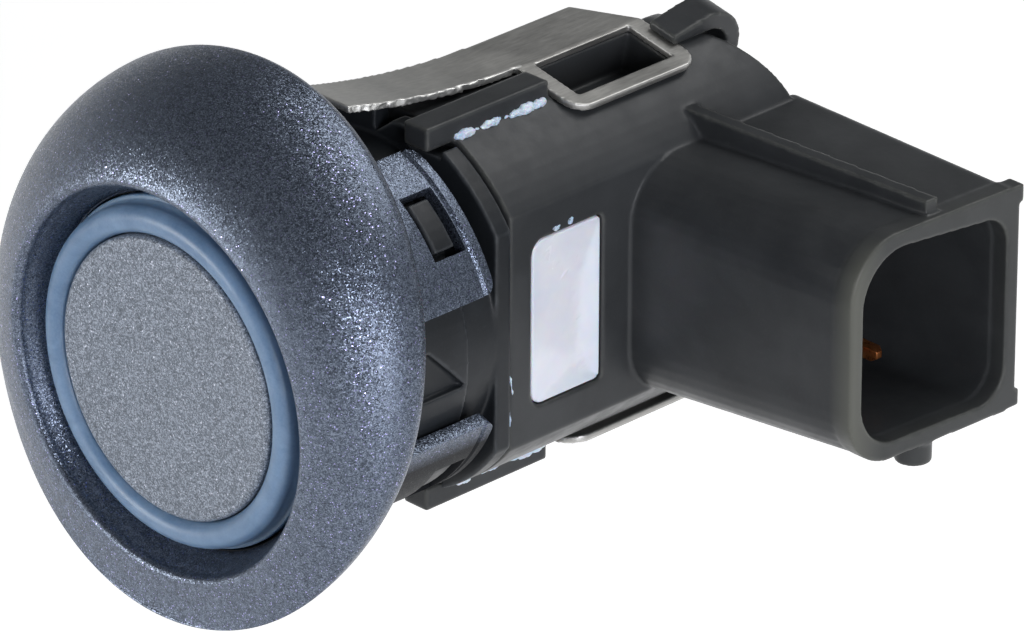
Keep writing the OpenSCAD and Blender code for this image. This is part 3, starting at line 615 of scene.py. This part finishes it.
def roundTree(material):
    tree, given, identifiers = startTree("roundTheAxis", {"copies": "Int", "firstTurn": "Float"})
    points = addNode(tree, "GeometryNodeMeshLine", {"Count": given["copies"], "Offset": (0.0, 0.0, 0.0)})
    index = addNode(tree, "GeometryNodeInputIndex").outputs[0]
    step = maths(tree, "DIVIDE", 2 * math.pi, given["copies"])
    turn = maths(tree, "MULTIPLY_ADD", index, step, maths(tree, "RADIANS", given["firstTurn"]))
    facing = addNode(tree, "ShaderNodeCombineXYZ", {1: turn}).outputs[0]
    copies = addNode(tree, "GeometryNodeInstanceOnPoints", {
        "Points": points.outputs[0], "Instance": given["Geometry"], "Rotation": facing})
    endTree(tree, copies.outputs[0], material)
    return tree, identifiers


def makeLegs(sizes):
    side, window = sizes["half"], sizes["windowHalf"]
    angles = spaced(-side, -window, sizes["sideSteps"])
    angles += spaced(-window * 0.6, window * 0.6, 3)
    angles += spaced(window, side, sizes["sideSteps"])
    creaseMiddle = (sizes["creaseStart"] + sizes["creaseEnd"]) / 2
    heights = [sizes["root"], sizes["collarEnd"], sizes["middle"], sizes["windowStart"],
               sizes["windowEnd"], sizes["creaseStart"], creaseMiddle]
    heights += spaced(sizes["creaseEnd"], sizes["legEnd"], sizes["endSteps"])
    oneLeg = softened(legPlate(angles, heights, sizes), sizes["soft"], "oneLeg")
    tree, identifiers = roundTree(legPaint)
    turns = {"copies": sizes["count"], "firstTurn": sizes["firstTurn"]}
    return weld(grownMesh("bezelLegs", tree, identifiers, turns, oneLeg))


def makeCollar(sizes):
    outline = [(sizes["inner"], sizes["collarStart"]), (sizes["outer"], sizes["collarStart"]),
               (sizes["outer"], sizes["collarEnd"]), (sizes["inner"], sizes["collarEnd"])]
    return softened(turned("collarRing", outline), sizes["collarSoft"], "bezelCollar")


addPiece("bezelLegs", makeLegs(legSizes), legPaint, "bezel_paint")
addPiece("bezelCollar", makeCollar(legSizes), legPaint, "bezel_paint")


# Aluminium cup whose painted front is the sensing face
caseSizes = {"face": -3.55, "back": 5.45, "radius": 7.0, "inner": 6.0, "floor": -2.85, "round": 0.28,
             "faceRings": (0.0, 2.0, 4.0, 5.5, 6.4)}


def caseOutline(sizes):
    outline = [(r, sizes["face"]) for r in sizes["faceRings"]]
    corner = (sizes["radius"] - sizes["round"], sizes["face"] + sizes["round"])
    outline += arc(corner, sizes["round"], -90, 0, 6)
    return outline + [(sizes["radius"], sizes["back"]), (sizes["inner"], sizes["back"]),
                      (sizes["inner"], sizes["floor"]), (0.0, sizes["floor"])]


addPiece("transducerCase", turned("transducerCase", caseOutline(caseSizes)), discPaint,
         "sensing_face", "transducer_case")


# Soft ring: a round lip in front, a skirt inside the bezel's mouth and a sleeve behind
ringSizes = {"inner": 7.05, "lip": 8.4, "front": -3.7, "lipBack": -1.85, "skirt": 8.65, "skirtFront": -2.45,
             "skirtRound": 0.1, "sleeve": 7.7, "back": 5.5, "rear": 6.3, "rearInner": 6.0}


def ringOutline(sizes):
    lipRound, skirtRound = (sizes["lip"] - sizes["inner"]) / 2, sizes["skirtRound"]
    outline = arc((sizes["inner"] + lipRound, sizes["front"] + lipRound), lipRound, 180, 360, 20)
    outline += [(sizes["lip"], sizes["skirtFront"])]
    outline += arc((sizes["skirt"] - skirtRound, sizes["skirtFront"] + skirtRound), skirtRound, -90, 0, 4)
    return outline + [(sizes["skirt"], sizes["lipBack"]), (sizes["sleeve"], sizes["lipBack"]),
                      (sizes["sleeve"], sizes["rear"]), (sizes["rearInner"], sizes["rear"]),
                      (sizes["rearInner"], sizes["back"]), (sizes["inner"], sizes["back"])]


addPiece("decouplingRing", turned("decouplingRing", ringOutline(ringSizes)), ringSilicone,
         "soft_ring", "decoupling_ring")


# Rear housing and holder, moulded
housingForm = {"voxel": 0.095, "rounds": 4, "keep": 0.17, "spread": 2, "gain": 9.0}
holderForm = {"voxel": 0.09, "rounds": 4, "keep": 0.3, "spread": 2, "gain": 9.0}
for pieceName, nodeName, form, material, slot in (
        ("rearHousing", "rear_housing", housingForm, housingPlastic, "housing_plastic"),
        ("transducerHolder", "transducer_holder", holderForm, holderPlastic, "holder_plastic")):
    mouldedPiece = mouldedMesh(nodeName, form)
    markEdges(mouldedPiece, form)
    addPiece(pieceName, mouldedPiece, material, slot, nodeName)


# Potting: a cast face that is dished in its window, steeper at the far and low edges
pottingForm = {"voxel": 0.12, "rounds": 4, "keep": 0.5, "front": 7.2, "dish": 0.75, "slope": 1.3,
               "gentleSlope": 3.9, "windowY": (12.68, 17.24), "windowZ": (-4.3, 4.3)}


def dishedPotting(form):
    mesh = mouldedMesh("potting", form)
    points = readPoints(mesh)
    x, y, z = points.T / mm
    steep = np.minimum(form["windowY"][1] - y, z - form["windowZ"][0]) / form["slope"]
    gentle = np.minimum(y - form["windowY"][0], form["windowZ"][1] - z) / form["gentleSlope"]
    inside = np.clip(np.minimum(steep, gentle), 0, None)
    points[:, 0] -= np.where(x > form["front"], form["dish"] * (1 - np.exp(-inside)) * mm, 0)
    writePoints(mesh, points)
    return mesh


addPiece("pottingFill", dishedPotting(pottingForm), pottingResin, "potting", "potting")


# Spring clips: stamped steel with a torn edge along the leaf
clipForm = {"voxel": 0.075, "rounds": 2, "keep": 0.5, "spread": 1, "gain": 6.0, "wearAndSheenShare": 0.6,
            "tornX": 1.65, "tornFade": 0.25, "tornPast": 0.05, "tornY": (7.0, 18.0),
            "tornDepth": 0.18, "tornSize": 0.35, "tornShift": 0.15, "tornShine": 0.9}


def clipMesh(nodeName, form):
    mesh = mouldedMesh(nodeName, form)
    points = readPoints(mesh)
    x, y = points[:, 0] / mm, points[:, 1] / mm
    torn = np.clip((x - form["tornX"] + form["tornFade"]) / form["tornFade"], 0, 1)
    torn *= (y > form["tornY"][0]) & (y < form["tornY"][1]) & (x < form["tornX"] + form["tornPast"])
    bite = np.array([noise.noise(Vector((p[1], p[2], p[0])) / (form["tornSize"] * mm)) for p in points])
    points[:, 0] -= torn * np.clip(bite + form["tornShift"], 0, 1) * form["tornDepth"] * mm
    writePoints(mesh, points)
    markEdges(mesh, form)
    wearAndSheen = np.empty(len(points), np.float32)
    layer = mesh.attributes["edgeWearAndHighlight"].data
    layer.foreach_get("value", wearAndSheen)
    # The edge mask holds wear and painted highlight on convex edges, and the torn edge's brightness
    wearAndSheen = np.maximum(wearAndSheen * form["wearAndSheenShare"], torn * form["tornShine"])
    layer.foreach_set("value", wearAndSheen.astype(np.float32))
    return mesh


for pieceName, nodeName in (("topSpringClip", "top_spring_clip"), ("bottomSpringClip", "bottom_spring_clip")):
    addPiece(pieceName, clipMesh(nodeName, clipForm), clipSteel, "clip_steel", nodeName)


# Terminals: three square pins with chamfered ends, repeated along the row
pinSizes = {"count": 3, "pitch": 2.2, "firstY": 22.95, "z": -3.55, "start": -0.24, "end": 16.35,
            "width": 0.64, "chamfer": 0.14, "startShare": 0.8, "tipShare": 0.55, "soft": 0.03}


def pinMesh(sizes):
    half = sizes["width"] / 2
    rings = [(sizes["start"], half * sizes["startShare"]), (sizes["start"] + sizes["chamfer"], half),
             (sizes["end"] - sizes["chamfer"] * 2, half), (sizes["end"], half * sizes["tipShare"])]
    corners = ((-1, -1), (1, -1), (1, 1), (-1, 1))
    verts = [(x * mm, y * r * mm, z * r * mm) for x, r in rings for y, z in corners]
    faces = [[4 * i + j, 4 * i + (j + 1) % 4, 4 * i + 4 + (j + 1) % 4, 4 * i + 4 + j]
             for i in range(3) for j in range(4)]
    faces += [[0, 1, 2, 3], [12, 13, 14, 15]]
    return softened(meshFrom("onePin", verts, faces), sizes["soft"], "onePin")


def rowTree(material):
    tree, given, identifiers = startTree("terminalRow", {"count": "Int", "start": "Vector", "step": "Vector"})
    row = addNode(tree, "GeometryNodeMeshLine", {
        "Count": given["count"], "Start Location": given["start"], "Offset": given["step"]})
    copies = addNode(tree, "GeometryNodeInstanceOnPoints", {
        "Points": row.outputs[0], "Instance": given["Geometry"]})
    endTree(tree, copies.outputs[0], material)
    return tree, identifiers


pinTree, pinInputs = rowTree(copperAlloy)
pinRow = grownMesh("terminalRow", pinTree, pinInputs, {
    "count": pinSizes["count"], "start": (0.0, pinSizes["firstY"] * mm, pinSizes["z"] * mm),
    "step": (0.0, pinSizes["pitch"] * mm, 0.0)}, pinMesh(pinSizes))
addPiece("terminalRow", weld(pinRow), copperAlloy, "terminal",
         "first_terminal", "second_terminal", "third_terminal")


# Sealant: lumpy dabs beside both rails and a few flecks, with a fixed seed
dabSizes = {
    "seed": 7, "rough": 0.3, "sway": (0.2, 0.3, 0.2), "lumpScale": 2600.0, "lumpSink": 0.6,
    "footX": 4.2, "footZ": 8.98, "reach": (0.7, 1.7, 0.8),
    "places": [(11.75, 0.4), (12.5, 0.14), (13.2, 0.32), (13.75, 0.27), (14.5, 0.12), (15.1, 0.3),
               (15.75, 0.4), (16.5, 0.36)],  # y and size of each dab
    "flecks": [((7.87, 14.2, 4.6), (0.06, 0.34, 0.16)), ((7.87, 15.1, 4.66), (0.06, 0.2, 0.2)),
               ((7.86, 11.2, -2.4), (0.1, 0.1, 0.7)), ((7.86, 11.18, -4.4), (0.08, 0.07, 0.5))]}


def dabTree(sizes, material):
    tree, given, identifiers = startTree("sealantDabs", {"seed": "Int", "rough": "Float"})
    size = addNode(tree, "GeometryNodeInputNamedAttribute", {"Name": "size"}, data_type="FLOAT_VECTOR")
    ball = addNode(tree, "GeometryNodeMeshIcoSphere", {"Radius": 1.0, "Subdivisions": 5})
    turn = addNode(tree, "FunctionNodeRandomValue", {
        "Seed": given["seed"], 0: [-s for s in sizes["sway"]], 1: sizes["sway"]}, data_type="FLOAT_VECTOR")
    copies = addNode(tree, "GeometryNodeInstanceOnPoints", {
        "Points": given["Geometry"], "Instance": ball.outputs[0],
        "Rotation": turn.outputs[0], "Scale": size.outputs[0]})
    real = addNode(tree, "GeometryNodeRealizeInstances", {0: copies.outputs[0]})
    lumps = addNode(tree, "ShaderNodeTexNoise", {"Scale": sizes["lumpScale"], "Detail": 2.5}).outputs[0]
    push = maths(tree, "MULTIPLY", maths(tree, "SUBTRACT", lumps, sizes["lumpSink"]), given["rough"])
    normal = addNode(tree, "GeometryNodeInputNormal").outputs[0]
    offset = vectorMaths(tree, "SCALE", {0: normal, "Scale": push})
    moved = addNode(tree, "GeometryNodeSetPosition", {"Geometry": real.outputs[0], "Offset": offset})
    endTree(tree, moved.outputs[0], material)
    return tree, identifiers


dabPoints, dabScales = [], []
for side in (1, -1):
    for y, size in dabSizes["places"]:
        dabPoints.append((dabSizes["footX"] * mm, y * mm, side * dabSizes["footZ"] * mm))
        dabScales += [size * share * mm for share in dabSizes["reach"]]
for place, reach in dabSizes["flecks"]:
    dabPoints.append([c * mm for c in place])
    dabScales += [c * mm for c in reach]
dabStart = bpy.data.meshes.new("dabPlaces")
dabStart.from_pydata(dabPoints, [], [])
dabStart.attributes.new("size", "FLOAT_VECTOR", "POINT").data.foreach_set("vector", dabScales)
dabGrowth, dabInputs = dabTree(dabSizes, sealantSmear)
dabMesh = grownMesh("sealantDabs", dabGrowth, dabInputs, {
    "seed": dabSizes["seed"], "rough": dabSizes["rough"] * mm}, dabStart)
addPiece("sealantDabs", dabMesh, sealantSmear, "sealant", "sealant_dabs")


# Hidden pieces keep their solids: the nodes, two tones, grain size in mm, roughness and metal
innerLooks = {
    "piezoCeramic": (("piezo_disc",), (196, 184, 140), (214, 202, 160), 0.4, 0.5, 0.0),
    "dampingFoam": (("damping_pad",), (84, 84, 86), (104, 104, 106), 0.3, 0.8, 0.0),
    "backfillSilicone": (("case_backfill",), (206, 206, 200), (222, 222, 216), 1.0, 0.4, 0.0),
    "leadCopper": (("upper_lead", "lower_lead"), (178, 108, 60), (208, 138, 84), 0.2, 0.3, 0.9),
    "gasketRubber": (("seam_gasket",), (26, 26, 28), (36, 36, 38), 0.3, 0.6, 0.0),
    "boardMask": (("circuit_board",), (22, 82, 46), (30, 98, 56), 0.8, 0.4, 0.0),
    "ferriteCore": (("transformer",), (46, 46, 50), (60, 60, 64), 0.3, 0.6, 0.0),
    "chipResin": (("control_chip",), (20, 20, 22), (30, 30, 32), 0.2, 0.5, 0.0),
    "capacitorCeramic": (("drive_capacitor", "filter_capacitor"),
                         (136, 104, 70), (154, 120, 84), 0.3, 0.45, 0.0)}
for finishName, (nodeNames, *look) in innerLooks.items():
    finish = innerFinish(finishName, *look)
    for nodeName in nodeNames:
        nodes[nodeName].material_slots[0].material = finish
print("hidden pieces dressed")


# The floor shows white to the camera and in reflections, and still takes the shadow
stageLook = {"floorZ": -0.045, "floorSize": 6.0, "floorColour": 0.95, "floorGlow": 0.45,
             "wallTop": (0.05, 0.4), "wallLight": 0.75, "ceilingLight": 0.1,
             "wallColour": (0.96, 0.98, 1.0, 1.0)}
half = stageLook["floorSize"] / 2
floorMesh = bpy.data.meshes.new("floor")
floorMesh.from_pydata([(x * half, y * half, stageLook["floorZ"]) for x, y in (
    (-1, -1), (1, -1), (1, 1), (-1, 1))], [], [(0, 1, 2, 3)])
floor = putInScene("floor", floorMesh)

floorMaterial = bpy.data.materials.new("paleFloor")
floorMaterial.use_nodes = True
floorTree = floorMaterial.node_tree
floorTree.nodes.clear()
matt = addNode(floorTree, "ShaderNodeBsdfDiffuse", {"Color": (stageLook["floorColour"],) * 3 + (1.0,)})
path = addNode(floorTree, "ShaderNodeLightPath").outputs
seen = maths(floorTree, "MAXIMUM", path["Is Camera Ray"], maths(
    floorTree, "MAXIMUM", path["Is Glossy Ray"], path["Is Transmission Ray"]))
glow = addNode(floorTree, "ShaderNodeEmission", {
    "Color": (1.0, 1.0, 1.0, 1.0), "Strength": maths(floorTree, "MULTIPLY", seen, stageLook["floorGlow"])})
both = addNode(floorTree, "ShaderNodeAddShader", {0: matt.outputs[0], 1: glow.outputs[0]})
addNode(floorTree, "ShaderNodeOutputMaterial", {0: both.outputs[0]})
floorMesh.materials.append(floorMaterial)

# White walls up to a low height and a dim ceiling
world = bpy.data.worlds.new("studio")
bpy.context.scene.world = world
world.use_nodes = True
worldTree = world.node_tree
worldTree.nodes.clear()
aim = addNode(worldTree, "ShaderNodeTexCoord").outputs["Generated"]
rise = addNode(worldTree, "ShaderNodeSeparateXYZ", {0: aim}).outputs[2]
strength = mapRange(worldTree, rise, *stageLook["wallTop"], stageLook["wallLight"], stageLook["ceilingLight"])
studio = addNode(worldTree, "ShaderNodeBackground", {"Color": stageLook["wallColour"], "Strength": strength})
addNode(worldTree, "ShaderNodeOutputWorld", {0: studio.outputs[0]})

lamps = {
    "frontBox": {"toward": (-0.5, -0.85, 0.12), "away": 0.5, "size": (0.22, 0.2),
                 "power": 1.15, "colour": (1.0, 0.99, 0.97)},
    "sideBox": {"toward": (0.86, -0.44, 0.24), "away": 0.4, "size": (0.08, 0.18),
                "power": 0.7, "colour": (0.92, 0.93, 1.0)},
    "rearTop": {"toward": (0.2, 0.46, 0.86), "away": 0.5, "size": (0.42, 0.3),
                "power": 1.35, "colour": (1.0, 1.0, 1.0)}}
target = Vector((0.008, 0.0135, 0.0))  # the lamps and the camera face this point
for name, lamp in lamps.items():
    data = bpy.data.lights.new(name, "AREA")
    data.shape = "RECTANGLE"
    data.size, data.size_y = lamp["size"]
    data.energy = lamp["power"]
    data.color = lamp["colour"]
    light = putInScene(name, data)
    light.location = target + Vector(lamp["toward"]).normalized() * lamp["away"]
    light.rotation_euler = (target - light.location).to_track_quat("-Z", "Y").to_euler()

# The photograph's viewing angle; the shift puts the target on its pixel
cameraLook = {"azimuth": 45.12, "elevation": 26.13, "roll": -0.337, "distance": 0.4903, "lens": 368.1,
              "imageSize": (1024, 635), "pivotPixel": (547.51, 321.76)}
azimuth, elevation = math.radians(cameraLook["azimuth"]), math.radians(cameraLook["elevation"])
forward = Vector((-math.sin(azimuth) * math.cos(elevation), math.cos(azimuth) * math.cos(elevation),
                  -math.sin(elevation)))
right = Vector((math.cos(azimuth), math.sin(azimuth), 0.0))
upward = right.cross(forward)
roll = Matrix.Rotation(math.radians(-cameraLook["roll"]), 3, "Z")
facing = Matrix((right, upward, -forward)).transposed() @ roll
cameraData = bpy.data.cameras.new("photoCamera")
cameraData.sensor_width = 36.0
cameraData.lens = cameraLook["lens"]
width, height = cameraLook["imageSize"]
cameraData.shift_x = (width / 2 - cameraLook["pivotPixel"][0]) / width
cameraData.shift_y = (cameraLook["pivotPixel"][1] - height / 2) / width
cameraData.clip_start, cameraData.clip_end = 0.01, 20.0
camera = putInScene("photoCamera", cameraData)
camera.matrix_world = Matrix.Translation(target - forward * cameraLook["distance"]) @ facing.to_4x4()
bpy.context.scene.camera = camera
print("stage, lamps and camera ready")
